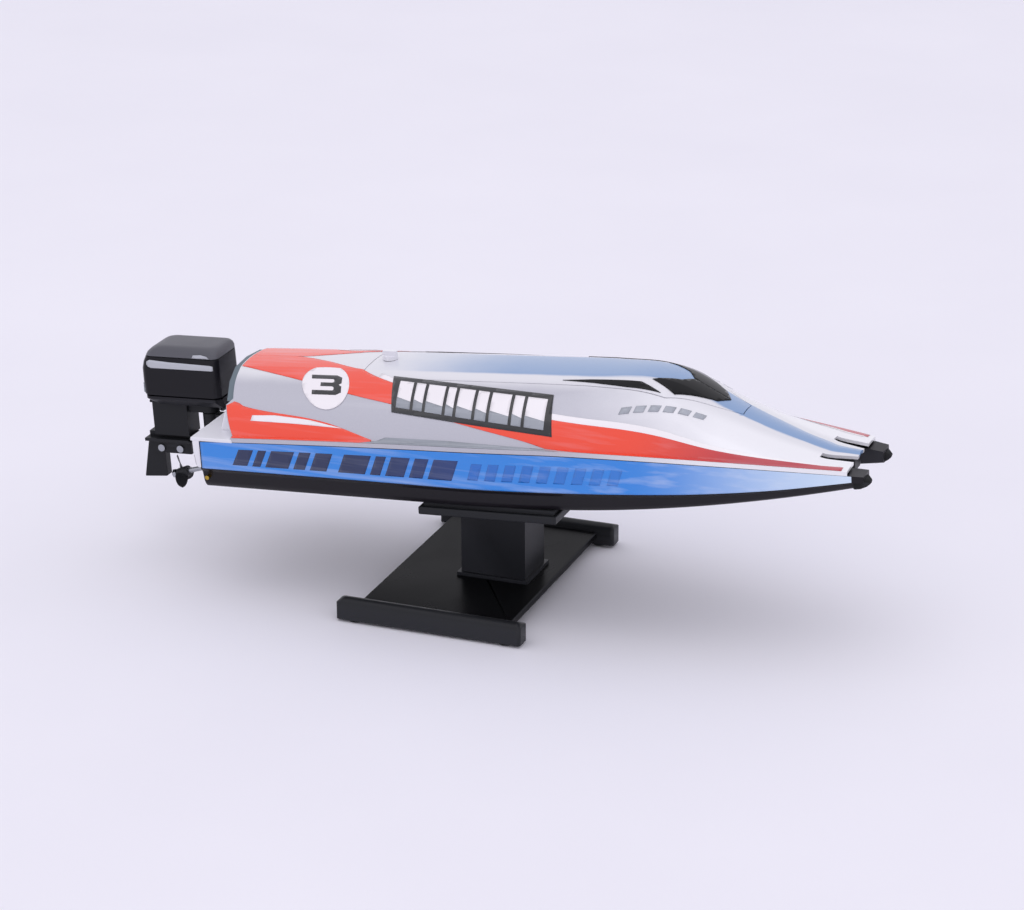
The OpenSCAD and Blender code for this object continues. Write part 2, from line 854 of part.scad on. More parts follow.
module swivel_pin() {
    color("silver") on_boat() {
        post(swivel_x, 0, 4.4, 29.2, pin_r);
        post(swivel_x, 0, 3.2, 4.6, 2.6);
        post(swivel_x, 0, 28.5, 29.8, 2.6);
    }
}

module tiller_pin() {
    color("silver") on_boat() {
        post(swivel_x, arm, rod_z - 2, 28.4, 1);
        post(swivel_x, arm, 28.4, 29.8, 2);
    }
}

module leg_screws() {
    color("silver") on_boat() translate([-60, 0, 1]) rotate([90, 0, 0]) for (x = [6, 18])
        translate([x, 0, -5]) {
            cylinder(h = 10, r = 1.2);
            translate([0, 0, 9.2]) cylinder(h = 1, r = 2.1);
        }
}

base_plate();
foot_rail_starboard();
foot_rail_port();
rubber_feet();
pedestal();
cradle_tray();
cradle_pads();
stand_screws();
lower_hull();
deck_shell();
flank_sticker_starboard();
flank_sticker_port();
bow_bumpers();
rear_bulkhead();
hatch_seal();
hatch_socket();
hatch_pegs();
battery_tray();
battery_pack();
battery_strap();
battery_lead();
control_board();
antenna_wire();
switch_body();
switch_slider();
steering_servo();
servo_screws();
motor_can();
motor_mount();
stuffing_tube();
shaft_bushes();
shaft_strut();
rod_boot();
clamp_bracket();
bracket_bolts();
drain_plug();
hull_screws();
water_contacts();
hatch_cover();
windscreen();
side_windows();
lock_knob();
motor_rotor();
shaft_coupling();
propeller_shaft();
propeller();
propeller_nut();
servo_horn();
horn_screw();
steering_rod();
motor_cowl();
cowl_lid();
cowl_pan();
cowl_stripes();
cowl_latch();
outboard_leg();
rudder_blade();
swivel_pin();
tiller_pin();
leg_screws();
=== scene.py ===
import math

import bmesh
import bpy
from mathutils import Matrix, Vector, geometry


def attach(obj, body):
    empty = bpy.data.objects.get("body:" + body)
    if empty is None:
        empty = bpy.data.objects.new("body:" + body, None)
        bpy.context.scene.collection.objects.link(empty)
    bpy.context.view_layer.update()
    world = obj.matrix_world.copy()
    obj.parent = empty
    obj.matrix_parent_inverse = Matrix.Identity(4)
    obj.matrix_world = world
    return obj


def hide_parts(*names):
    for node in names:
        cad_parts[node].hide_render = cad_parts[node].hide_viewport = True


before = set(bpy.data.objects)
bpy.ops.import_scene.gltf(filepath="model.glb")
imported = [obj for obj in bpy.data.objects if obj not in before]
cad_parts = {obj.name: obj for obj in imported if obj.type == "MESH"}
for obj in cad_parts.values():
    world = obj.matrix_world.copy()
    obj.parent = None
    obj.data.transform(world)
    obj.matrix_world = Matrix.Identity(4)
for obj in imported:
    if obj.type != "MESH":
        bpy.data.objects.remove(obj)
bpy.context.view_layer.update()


# ---- Table, soft light and camera ----
# A sheet of pale coated paper lies on the table, under one soft box overhead and one in front.
# The paper is matte, with a faint cloudiness and a very fine tooth.

def linear(code):
    """An sRGB hex colour as the linear colour that the shaders use."""
    parts = [int(code[i:i + 2], 16) / 255 for i in (1, 3, 5)]
    return tuple(c / 12.92 if c <= 0.04045 else ((c + 0.055) / 1.055) ** 2.4 for c in parts) + (1.0,)


def blank(name):
    """A new material with no nodes in it yet."""
    made = bpy.data.materials.new(name)
    made.use_nodes = True
    made.node_tree.nodes.clear()
    return made


def add(material, kind, put):
    """Adds one shader node: lower-case names are its settings, the rest are its inputs."""
    made = material.node_tree.nodes.new("ShaderNode" + kind)
    for key, value in put.items():
        if isinstance(key, str) and key.islower():
            setattr(made, key, value)
        elif isinstance(value, bpy.types.NodeSocket):
            material.node_tree.links.new(value, made.inputs[key])
        else:
            made.inputs[key].default_value = value
    return made


# Coated paper, pressed: matte, a little uneven in tone over a hand's width
paper = blank("coated_paper")
place = add(paper, "TexCoord", {}).outputs["Object"]
cloud = add(paper, "TexNoise", {"Vector": place, "Scale": 5.0, "Detail": 3.0})
tooth = add(paper, "TexNoise", {"Vector": place, "Scale": 700.0, "Detail": 2.0})
tone = add(paper, "Mix", {"data_type": "RGBA", 0: cloud.outputs[0],
                          6: linear("#ECEAF2"), 7: linear("#F3F1F8")})
grain = add(paper, "Bump", {"Height": tooth.outputs[0], "Distance": 0.0001, "Strength": 0.3})
coat = add(paper, "BsdfPrincipled", {"Base Color": tone.outputs[2], "Roughness": 0.75,
                                     "Specular IOR Level": 0.25, "Normal": grain.outputs[0]})
add(paper, "OutputMaterial", {"Surface": coat.outputs[0]})

table_mesh = bpy.data.meshes.new("table_paper")
table_mesh.from_pydata([(-4, -4, 0), (4, -4, 0), (4, 6, 0), (-4, 6, 0)], [], [(0, 1, 2, 3)])
table_mesh.materials.append(paper)
table = bpy.data.objects.new("table_paper", table_mesh)
bpy.context.scene.collection.objects.link(table)

world = bpy.data.worlds.new("white_room")
bpy.context.scene.world = world
world.use_nodes = True
world.node_tree.nodes["Background"].inputs[0].default_value = linear("#F1F0F8")
world.node_tree.nodes["Background"].inputs[1].default_value = 1.0

for name, spot, aim, size, power in [
        ("soft_box_overhead", (-0.3, -0.2, 2.6), (0.0, 0.0, 0.05), 1.8, 6.0),
        ("soft_box_front", (1.6, -2.6, 1.9), (0.05, 0.0, 0.08), 1.6, 5.0)]:
    lamp = bpy.data.lights.new(name, "AREA")
    lamp.shape = "SQUARE"
    lamp.size = size
    lamp.energy = power
    lamp.color = (1.0, 0.99, 1.0)
    box = bpy.data.objects.new(name, lamp)
    box.location = spot
    box.rotation_euler = (Vector(aim) - Vector(spot)).to_track_quat("-Z", "Y").to_euler()
    bpy.context.scene.collection.objects.link(box)

eye = bpy.data.cameras.new("camera")
eye.sensor_width = 36.0
eye.lens = 112.5
eye.clip_start = 0.05
eye.clip_end = 20.0
camera = bpy.data.objects.new("camera", eye)
around, above = math.radians(21.3), math.radians(20.9)
aim = Vector((0.00875, 0.0, 0.0782))
back = Vector((math.sin(around) * math.cos(above), -math.cos(around) * math.cos(above), math.sin(above)))
camera.location = aim + 1.771 * back
turn = (-back).to_track_quat("-Z", "Y") @ Matrix.Rotation(math.radians(-0.3), 3, "Z").to_quaternion()
camera.rotation_euler = turn.to_euler()
bpy.context.scene.collection.objects.link(camera)
bpy.context.scene.camera = camera
bpy.context.scene.view_settings.view_transform = "Standard"


# ---- Display stand ----
# Two foot rails, a base plate, a pedestal and a cradle tray, each moulded in black ABS and
# screwed together. Foam pads under the keels and rubber feet keep it from scratching.

def moulded(name, colour, roughness, grain_mm, depth_mm, edge="#3A3B40", sheen_at=0.12, gloss_level=0.2):
    """Injection-moulded plastic: an even gloss with fine spark-eroded texture, and sharp outer edges painted
    paler as a highlight.
    """
    made = blank(name)
    place = add(made, "TexCoord", {}).outputs["Object"]
    texture = add(made, "TexNoise", {"Vector": place, "Scale": 1000 / grain_mm, "Detail": 3.0})
    flow = add(made, "TexNoise", {"Vector": place, "Scale": 22.0, "Detail": 4.0, "Distortion": 0.6})
    # Painted highlight: convex edges are mixed towards the paler edge colour, standing in for the light they
    # catch
    edge_convexity = add(made, "NewGeometry", {}).outputs["Pointiness"]
    edge_highlight = add(made, "MapRange", {"Value": edge_convexity, "From Min": 0.53, "From Max": 0.62, "To Max": 0.45})
    dull = add(made, "MapRange", {"Value": flow.outputs[0], "From Min": 0.3, "From Max": 0.7,
                                  "To Min": roughness - 0.05, "To Max": roughness + 0.07})
    base = add(made, "Mix", {"data_type": "RGBA", 6: linear(colour), 7: linear(edge),
                             0: add(made, "Math", {"operation": "MULTIPLY", 0: flow.outputs[0],
                                                   1: sheen_at}).outputs[0]})
    tinted = add(made, "Mix", {"data_type": "RGBA", 0: edge_highlight.outputs[0], 6: base.outputs[2], 7: linear(edge)})
    relief = add(made, "Bump", {"Height": texture.outputs[0], "Distance": depth_mm / 1000, "Strength": 0.5})
    skin = add(made, "BsdfPrincipled", {"Base Color": tinted.outputs[2], "Roughness": dull.outputs[0],
                                        "IOR": 1.54, "Specular IOR Level": gloss_level,
                                        "Normal": relief.outputs[0]})
    add(made, "OutputMaterial", {"Surface": skin.outputs[0]})
    return made


def turned(name, colour, roughness, ring_mm, axis_scale):
    """Bright metal cut on a lathe or rolled: fine lines that break up its reflections."""
    made = blank(name)
    place = add(made, "TexCoord", {}).outputs["Object"]
    along = add(made, "Mapping", {"Vector": place, "Scale": axis_scale})
    lines = add(made, "TexNoise", {"Vector": along.outputs[0], "Scale": 1000 / ring_mm, "Detail": 3.0})
    smear = add(made, "TexNoise", {"Vector": place, "Scale": 90.0, "Detail": 3.0})
    dull = add(made, "MapRange", {"Value": smear.outputs[0], "From Min": 0.3, "From Max": 0.7,
                                  "To Min": roughness - 0.06, "To Max": roughness + 0.12})
    tone = add(made, "Mix", {"data_type": "RGBA", 0: lines.outputs[0], 6: linear(colour),
                             7: tuple(c * 0.62 for c in linear(colour)[:3]) + (1.0,)})
    relief = add(made, "Bump", {"Height": lines.outputs[0], "Distance": 0.00004, "Strength": 0.6})
    skin = add(made, "BsdfPrincipled", {"Base Color": tone.outputs[2], "Metallic": 1.0,
                                        "Roughness": dull.outputs[0], "Normal": relief.outputs[0]})
    add(made, "OutputMaterial", {"Surface": skin.outputs[0]})
    return made


def dress(node, material, soften_mm=0.0):
    """Gives a CAD node its material, and rounds its sharp edges as the mould does."""
    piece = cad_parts[node]
    piece.data.materials.clear()
    piece.data.materials.append(material)
    for face in piece.data.polygons:
        face.material_index = 0
        face.use_smooth = True
    weld = piece.modifiers.new("weld", "WELD")
    weld.merge_threshold = 0.000002
    if soften_mm:
        soft = piece.modifiers.new("soften", "BEVEL")
        soft.width = soften_mm / 1000
        soft.segments = 3
        soft.limit_method = "ANGLE"
        soft.angle_limit = math.radians(34)
        soft.use_clamp_overlap = True
    even = piece.modifiers.new("even", "WEIGHTED_NORMAL")
    even.keep_sharp = True
    return piece


# Black ABS base plate, moulded smooth: deep black, with its reflections held well down
gloss_abs = moulded("black_abs_polished", "#09090A", 0.3, 1.2, 0.02, gloss_level=0.04)
# Black ABS, moulded in a textured tool: charcoal with a satin bloom along its top
satin_abs = moulded("black_abs_satin", "#1B1C1F", 0.42, 0.5, 0.05)
# The same satin ABS on the pedestal, a little paler from its coarser texture
pedestal_abs = moulded("black_abs_textured", "#1E1F23", 0.36, 0.8, 0.06)
# Pressed EVA foam: charcoal, dead matte, with open pores
eva_foam = moulded("eva_foam", "#2C2D30", 0.9, 0.6, 0.25)
# Moulded nitrile rubber: near black and matte, with a dusty bloom
rubber = moulded("nitrile_rubber", "#121213", 0.72, 0.4, 0.06)
# Zinc-plated steel screws: bright grey with fine turning lines
plated_steel = turned("zinc_plated_steel", "#B9BCC2", 0.26, 0.4, (1.0, 1.0, 6.0))

dress("base_plate", gloss_abs, 0.8)
dress("foot_rail_starboard", satin_abs, 0.0)
dress("foot_rail_port", satin_abs, 0.0)
dress("pedestal", pedestal_abs, 1.2)
dress("cradle_tray", satin_abs, 0.8)
dress("cradle_pads", eva_foam, 0.3)
dress("rubber_feet", rubber, 0.3)
dress("stand_screws", plated_steel, 0.15)


# ---- Lower hull ----
# The tunnel hull's lower half: two sponsons joined by the tunnel roof, moulded in one piece
# of black ABS with a spray rail along each chine. Its flanks carry the printed film.

pitch = math.radians(3.5)
boat_x, boat_z = -152.5, 58
hull_len = 370


def boat(x, y, z):
    """A point given in the level boat's millimetres, in the row's frame in metres."""
    return Vector((boat_x + x * math.cos(pitch) - z * math.sin(pitch), y,
                   boat_z + x * math.sin(pitch) + z * math.cos(pitch))) / 1000


def past(x, start, end):
    return max(0.0, (x - start) / (end - start))


def hull_half(x):
    return 60 - 34 * past(x, 150, hull_len) ** 1.6


def tunnel_half(x):
    return 34 - 20 * past(x, 150, hull_len) ** 1.2


def keel(x):
    return 15 * past(x, 200, hull_len) ** 1.9


def deck(x):
    if x < 200:
        return 28 + 5 * math.sin(math.radians(90 * max(0, x) / 200))
    return 33 - 11 * past(x, 200, hull_len) ** 1.5


def tunnel_top(x):
    return 14 + 3 * (max(0, x) / 360) ** 2


def through(points, x):
    """Smooth curve through a few given (x, height) points."""
    if x <= points[0][0]:
        return points[0][1]
    for i in range(len(points) - 1):
        (x0, a), (x1, b) = points[i], points[i + 1]
        if x <= x1:
            before = points[max(0, i - 1)]
            after = points[min(len(points) - 1, i + 2)]
            m0 = (b - before[1]) / (x1 - before[0]) * (x1 - x0)
            m1 = (after[1] - a) / (after[0] - x0) * (x1 - x0)
            s = (x - x0) / (x1 - x0)
            return ((2 * s ** 3 - 3 * s ** 2 + 1) * a + (s ** 3 - 2 * s ** 2 + s) * m0
                    + (3 * s ** 2 - 2 * s ** 3) * b + (s ** 3 - s ** 2) * m1)
    return points[-1][1]


def spread(*stops):
    """Stations between stops, about one every 3 mm."""
    out = [stops[0]]
    for a, b in zip(stops, stops[1:]):
        n = max(1, round(abs(b - a) / 3.0))
        out += [a + (b - a) * i / n for i in range(1, n + 1)]
    return out


def piece_from(name, points, faces, material, body, sharp=35.0, maps=None):
    """A mesh piece that rides on a body; maps gives each point its place on the print, if any."""
    mesh = bpy.data.meshes.new(name)
    mesh.from_pydata(points, [], faces)
    mesh.materials.append(material)
    tidy = bmesh.new()
    tidy.from_mesh(mesh)
    if maps:
        layer = tidy.loops.layers.uv.new("print")
        tidy.verts.ensure_lookup_table()
        for face in tidy.faces:
            for corner in face.loops:
                corner[layer].uv = maps[corner.vert.index]
    bmesh.ops.recalc_face_normals(tidy, faces=tidy.faces)
    tidy.to_mesh(mesh)
    tidy.free()
    for face in mesh.polygons:
        face.use_smooth = True
    mesh.set_sharp_from_angle(angle=math.radians(sharp))
    made = bpy.data.objects.new(name, mesh)
    bpy.context.scene.collection.objects.link(made)
    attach(made, body)
    return made


def thicken(piece, wall_mm, round_mm, angle=40.0):
    """Wall thickness inwards, then rounded rims."""
    if wall_mm:
        wall = piece.modifiers.new("wall", "SOLIDIFY")
        wall.thickness = wall_mm / 1000
        wall.offset = -1.0
    if round_mm:
        soft = piece.modifiers.new("rim", "BEVEL")
        soft.width = round_mm / 1000
        soft.segments = 3
        soft.limit_method = "ANGLE"
        soft.angle_limit = math.radians(angle)
        soft.use_clamp_overlap = True
    even = piece.modifiers.new("even", "WEIGHTED_NORMAL")
    even.keep_sharp = True
    return piece


def loft(rings, closed=True):
    """Points and faces of a skin through rings of equal length, with both ends capped."""
    n = len(rings[0])
    points = [p for ring in rings for p in ring]
    faces = []
    for r in range(len(rings) - 1):
        for i in range(n if closed else n - 1):
            a, b = r * n + i, r * n + (i + 1) % n
            faces.append((a, b, b + n, a + n))
    if closed:
        faces += [tuple(range(n)), tuple(range((len(rings) - 1) * n, len(rings) * n))]
    return points, faces


FILM_LOW = [(0, 12.4), (90, 12.3), (180, 11.9), (270, 12.4), (320, 14.8), (364, 19.2)]


def film_low(x):
    return through(FILM_LOW, x)


def sponson(x):
    """One side's outline from the deck edge round the spray rail and the bottom to the tunnel."""
    half, inner, low = hull_half(x), tunnel_half(x), keel(x)
    rail = min(film_low(x) - 0.6, deck(x) - 1.5)
    drop = max(rail - low, 1.0)
    roofline = max(tunnel_top(x), low + 1.5)
    return [(half, deck(x)), (half, rail), (half - 1.3, rail - 0.12 * drop), (half - 1.9, rail - 0.2 * drop),
            (half - 3.0, low + 0.34 * drop), (half - 4.4, low + 0.12 * drop), (half - 6.0, low),
            (inner + 2.2, low + 0.2), (inner + 0.8, low + 0.6), (inner, low + 1.2),
            (inner, roofline - 3 if roofline - 3 > low + 1.3 else low + 1.3)]


# Black ABS in a satin tool: near-black and softly glossy, with a painted highlight that pales its sharp edges
hull_abs = moulded("black_abs_hull", "#171419", 0.34, 0.9, 0.03)

rings = []
for x in spread(0, 200, 344):
    side = sponson(x)
    top = tunnel_top(x)
    arch = [(tunnel_half(x) - 0.9, top - 1.0), (tunnel_half(x) - 3, top)]
    port = side + arch + [(0, top)]
    rings.append([boat(x, y, z) for y, z in port] + [boat(x, -y, z) for y, z in reversed(port[:-1])])
points, faces = loft(rings, closed=False)
ring_n = len(rings[0])
faces.append(tuple(range(ring_n)))
main = piece_from("hull_bottom", points, faces, hull_abs, "hull", 30)
thicken(main, 1.8, 0.4, 50)
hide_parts("lower_hull")

# The two sponson tips forward of the tunnel roof, and the underside of the nose between them
for side, label in ((1, "port"), (-1, "starboard")):
    rings = []
    for x in spread(343, hull_len):
        outline = sponson(x) + [(tunnel_half(x), deck(x))]
        rings.append([boat(x, side * y, z) for y, z in outline])
    points, faces = loft(rings)
    tip = piece_from("sponson_tip_" + label, points, faces, hull_abs, "hull", 30)
    thicken(tip, 0, 0.5, 50)
rings = []
for x in spread(343, 360):
    half = 11 - 5 * past(x, 343, 360)
    rings.append([boat(x, y, z) for y, z in ((-half, deck(x) + 1), (-half, tunnel_top(x) + 1.5),
                                             (-half + 2, tunnel_top(x)), (half - 2, tunnel_top(x)),
                                             (half, tunnel_top(x) + 1.5), (half, deck(x) + 1))])
points, faces = loft(rings)
beak = piece_from("nose_underside", points, faces, hull_abs, "hull", 30)
thicken(beak, 0, 0.5, 50)

# Soft bumpers pushed over the tips, tapering forward
for side, label in ((1, "port"), (-1, "starboard")):
    rings = []
    for x, y0, y1, z0, z1 in ((364.6, 14.8, 26.6, 14.4, 22.2), (368, 15.2, 26.2, 14.8, 21.4),
                              (371, 16.4, 24.8, 15.8, 20.2), (372.8, 18.2, 23.0, 17.0, 19.0)):
        rings.append([boat(x, side * y, z) for y, z in (
            (y0 + 1, z0), (y1 - 1.6, z0), (y1, z0 + 0.9), (y1, z1 - 1.1), (y1 - 1.6, z1), (y0 + 1, z1),
            (y0, z1 - 0.8), (y0, z0 + 0.8))])
    points, faces = loft(rings)
    bumper = piece_from("bow_bumper_" + label, points, faces, rubber, "hull", 40)
    thicken(bumper, 0, 0.4, 35)
    if side < 0:
        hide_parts("bow_bumpers")


# ---- Deck shell ----
# The upper half: racing cowl, side ledge and aft deck moulded as one white ABS shell, sprayed
# silver at the stern and white at the bow with a steel-blue ridge, then lacquered.

def roof(x):
    return through([(0, 58), (120, 61.9), (225, 65.3), (250, 65.6), (268, 61.6), (293, 48.6), (322, 36.2),
                    (350, 26.7), (362, 23.6)], x)


def roof_w(x):
    return 16 - 12 * past(x, 220, 360) ** 0.9


def rise(t):
    return 0.45 * t + 0.55 * math.sin(math.pi / 2 * t)


def reach(t):
    return 0.45 * (1 - t) + 0.55 * math.cos(math.pi / 2 * t)


def cowl_at(x, t):
    """Half-width and height on the cowl: t is -0.2 at the lip, 0 at the foot, 1 at the roof's edge
    and 2 amidships."""
    edge, low, wide = hull_half(x) + 0.3, deck(x) + 2.5, roof_w(x)
    foot = edge - 3
    top = max(roof(x), low + 0.8)
    if t < -0.1:
        return edge, low + (t + 0.1) * 24
    if t < 0:
        return foot - 30 * t, low + 0.4 + 4 * t
    if t <= 1:
        return wide + (foot - wide) * reach(t), low + 0.4 + (top - low - 0.4) * rise(t)
    return wide * (2 - t), top + 1 - (2 - t) ** 2


cowl_x = 20
lean_from = 60
bulkhead_t = 4.8


def raked(x, t):
    """Where a station really lies: the cowl's rear edge leans aft, then steps in for the bulkhead."""
    if x >= lean_from:
        return x
    z = cowl_at(x, t)[1]
    back = cowl_x - 0.6 * (z - 31) + bulkhead_t * min(1.0, max(0.0, z - 45.5))
    return lean_from - (lean_from - x) * (lean_from - back) / (lean_from - cowl_x)


def level(x, y):
    """The t at which the cowl is y wide."""
    wide, foot = roof_w(x), hull_half(x) - 2.7
    if y <= wide:
        return 2 - y / wide
    low, high = 0.0, 1.0
    for _ in range(30):
        mid = (low + high) / 2
        if wide + (foot - wide) * reach(mid) > y:
            low = mid
        else:
            high = mid
    return low


def hatch_edge(x):
    """Half-width of the hatch, carried on as the nose forward of it."""
    if x < 262:
        return 24.0
    if x < 300:
        return 24 - 17 * (x - 262) / 38
    return 7 + 4 * past(x, 300, 343) if x < 343 else 11 - 5 * past(x, 343, 362)


def cowl_skin(name, stations, keep, shift, material, body):
    """Smooth skin over the cowl. keep says which cells are made; shift opens the seam by the hatch."""
    rows_of = []
    for x in stations:
        seam = level(x, hatch_edge(x) + shift)
        tunnel = level(x, tunnel_half(x))
        half = [2 + (seam - 2) * i / 9 for i in range(9)]
        half += [seam + (tunnel - seam) * i / 6 for i in range(6)]
        half += [tunnel * (1 - i / 8) for i in range(8)]
        half += [0.0, -0.035, -0.07, -0.1, -0.13, -0.165, -0.2]
        rows_of.append(half)
    n = len(rows_of[0])
    points, maps, faces, index = [], [], [], {}
    for i, x in enumerate(stations[:-1]):
        for j in range(n - 1):
            group = "centre" if j < 9 else "bridge" if j < 15 else "flank"
            if not keep((x + stations[i + 1]) / 2, group):
                continue
            for side in (1, -1):
                corner = []
                for a, b in ((i, j), (i + 1, j), (i + 1, j + 1), (i, j + 1)):
                    key = (a, b, side if b else 1)
                    if key not in index:
                        index[key] = len(points)
                        real = raked(stations[a], rows_of[a][b])
                        y, z = cowl_at(real, rows_of[a][b])
                        points.append(boat(real, side * y if b else 0.0, z))
                        maps.append((stations[a] / hull_len, rows_of[a][b] / 2))
                    corner.append(index[key])
                faces.append(tuple(corner if side > 0 else reversed(corner)))
    return piece_from(name, points, faces, material, body, 35, maps)


# Two-tone lacquer over ABS, sprayed: silver flake astern fading to white at the bow, a steel-blue mist over
# the roof's edge, and a clear coat that gives it a sharp gloss. A pale band just below the roof's edge is
# painted highlight.
cowl_paint = blank("sprayed_two_tone_lacquer_and_painted_highlight")
spot = add(cowl_paint, "SeparateXYZ", {0: add(cowl_paint, "UVMap", {"uv_map": "print"}).outputs[0]})
place = add(cowl_paint, "TexCoord", {}).outputs["Object"]
mist = add(cowl_paint, "TexNoise", {"Vector": place, "Scale": 60.0, "Detail": 5.0})
flake = add(cowl_paint, "TexVoronoi", {"Vector": place, "Scale": 3500.0})
soft_u = add(cowl_paint, "Math", {"operation": "MULTIPLY_ADD", 0: mist.outputs[0], 1: 0.05,
                                  2: spot.outputs[0]})
soft_v = add(cowl_paint, "Math", {"operation": "MULTIPLY_ADD", 0: mist.outputs[0], 1: 0.03,
                                  2: spot.outputs[1]})
to_bow = add(cowl_paint, "MapRange", {"Value": soft_u.outputs[0], "From Min": 0.56, "From Max": 0.84,
                                      "interpolation_type": "SMOOTHSTEP"})
silver = add(cowl_paint, "Mix", {"data_type": "RGBA", 0: flake.outputs[0], 6: linear("#B2B2BD"),
                                 7: linear("#C2C1CB")})
body_tone = add(cowl_paint, "Mix", {"data_type": "RGBA", 0: to_bow.outputs[0], 6: silver.outputs[2],
                                    7: linear("#F1F0F4")})
# Painted highlight: a pale band on the rounded shoulder between the silver side and the roof, where the
# surface turns up towards the light
shoulder_highlight_mask = add(cowl_paint, "MapRange", {"Value": soft_v.outputs[0], "From Min": 0.36, "From Max": 0.48,
                                           "interpolation_type": "SMOOTHSTEP"})
shoulder_highlighted = add(cowl_paint, "Mix", {"data_type": "RGBA", 0: shoulder_highlight_mask.outputs[0], 6: body_tone.outputs[2],
                                   7: linear("#E2E1E6")})
on_roof = add(cowl_paint, "MapRange", {"Value": soft_v.outputs[0], "From Min": 0.5, "From Max": 0.56,
                                       "interpolation_type": "SMOOTHSTEP"})
from_stern = add(cowl_paint, "MapRange", {"Value": soft_u.outputs[0], "From Min": 0.24, "From Max": 0.5,
                                          "interpolation_type": "SMOOTHSTEP"})
blue_amount = add(cowl_paint, "Math", {"operation": "MULTIPLY", 0: on_roof.outputs[0],
                                       1: from_stern.outputs[0]})
painted = add(cowl_paint, "Mix", {"data_type": "RGBA", 0: blue_amount.outputs[0], 6: shoulder_highlighted.outputs[2],
                                  7: linear("#7D9CC6")})
peel = add(cowl_paint, "TexNoise", {"Vector": place, "Scale": 420.0, "Detail": 1.0})
orange_peel = add(cowl_paint, "Bump", {"Height": peel.outputs[0], "Distance": 0.00003, "Strength": 0.35})
lacquer = add(cowl_paint, "BsdfPrincipled", {"Base Color": painted.outputs[2], "Metallic": 0.12,
                                             "Roughness": 0.36, "Coat Weight": 0.8, "Coat Roughness": 0.07,
                                             "Normal": orange_peel.outputs[0]})
add(cowl_paint, "OutputMaterial", {"Surface": lacquer.outputs[0]})

deck_skin = cowl_skin("deck_skin", spread(20, 84, 262, 300, 344, 362),
                      lambda x, group: not (group == "centre" and 84 < x < 300)
                      and not (group == "bridge" and x > 344), 0.25, cowl_paint, "hull")
thicken(deck_skin, 1.8, 0.35, 48)
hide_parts("deck_shell")

# Rear wall of the cowl: it leans with the edge, and the grey bulkhead covers its upper part
rings = []
for i in range(90):
    t = -0.2 + 2.19 * i / 89
    back = raked(20, t)
    y, z = cowl_at(back, t)
    rings.append([boat(back + dx, (y - 0.3) * side, z - 0.15)
                  for dx, side in ((0.15, 1), (0.15, -1), (1.8, -1), (1.8, 1))])
points, faces = loft(rings)
rear_wall = piece_from("cowl_rear_wall", points, faces, cowl_paint, "hull", 35,
                       [(0.06, 0.2)] * len(points))
thicken(rear_wall, 0, 0.2, 60)

# Aft deck: a flat flange over the transom, with the raised step that the cowl ends on
# White ABS, moulded glossy: cool white with a faint grey where it thins over the step
white_abs = moulded("white_abs_gloss", "#E6E5EC", 0.24, 1.5, 0.01, "#FFFFFF", 0.05)


def block_rings(x0, x1, half, z0, z1, top_in, back_in):
    """A block that draws in towards its top, as a mould needs."""
    rings = []
    for k in range(5):
        s = k / 4
        w = half - top_in * s
        rings.append([(x0 + back_in * s, -w, z0 + (z1 - z0) * s), (x1, -w, z0 + (z1 - z0) * s),
                      (x1, w, z0 + (z1 - z0) * s), (x0 + back_in * s, w, z0 + (z1 - z0) * s)])
    return [[boat(*p) for p in ring] for ring in rings]


points, faces = loft(block_rings(-5, 21, 60.3, 28.2, 30.3, 0.2, 0.2))
aft = piece_from("aft_deck", points, faces, white_abs, "hull", 35)
thicken(aft, 0, 0.7, 50)
points, faces = loft(block_rings(7, 20.5, 46, 30.1, 40, 2.5, 2.0))
step = piece_from("aft_step", points, faces, white_abs, "hull", 35)
thicken(step, 0, 1.0, 50)

# The flange turns down round the transom's outer corners
for side, label in ((1, "port"), (-1, "starboard")):
    rings = []
    for z, inset, pull in ((12.5, 0.5, 1.6), (13.5, 0.1, 0.9), (20, 0.0, 0.2), (28.6, 0.0, 0.0)):
        rings.append([boat(x, side * y, z) for x, y in ((-4.8 + pull, 53), (-4.8 + pull, 58.2 - inset),
                                                        (-3.2 + pull, 60.0 - inset), (0.4, 60.2), (0.4, 53))])
    points, faces = loft(rings)
    corner = piece_from("transom_corner_" + label, points, faces, white_abs, "hull", 35)
    thicken(corner, 0, 0.5, 50)

# Grey ABS, moulded satin: the bulkhead plate that closes the cowl's rear
grey_abs = moulded("grey_abs_satin", "#6F7C84", 0.45, 0.8, 0.04)
dress("rear_bulkhead", grey_abs, 0.3)


# ---- Printed film on deck and flanks ----
# The racing livery is screen-printed vinyl film, cut to shape and pressed on by hand over
# the paint. Its inks are flat and glossy, with slightly uneven edges and faint streaks.

